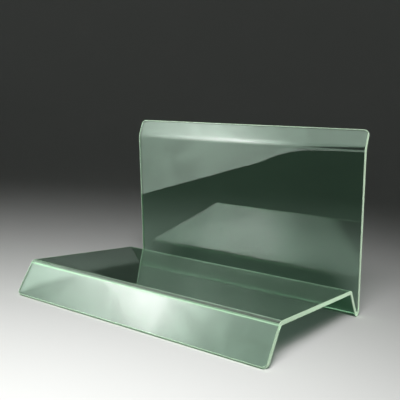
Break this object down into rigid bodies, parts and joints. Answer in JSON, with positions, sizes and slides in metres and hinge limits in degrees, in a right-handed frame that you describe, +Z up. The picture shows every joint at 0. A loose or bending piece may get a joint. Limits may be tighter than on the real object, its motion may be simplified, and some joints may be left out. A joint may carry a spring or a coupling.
{
  "type": "plate display stand",
  "caption": "Clear acrylic display stand: a single sheet bent into a sloping front lip, a low shelf, a tight valley and a tall back panel with a turned-back top lip.",
  "frame": {"origin": "on the table, at the middle of the footprint's bounding box", "axes": "+X along the bend lines, to the right seen from the front; +Y from the front lip to the back panel; +Z up"},
  "size_m": [0.3, 0.2036, 0.196],
  "materials": {
    "acrylic": "polished"
  },
  "bodies": {
    "root": {"bent_acrylic_sheet": "acrylic"}
  },
  "joints": []
}
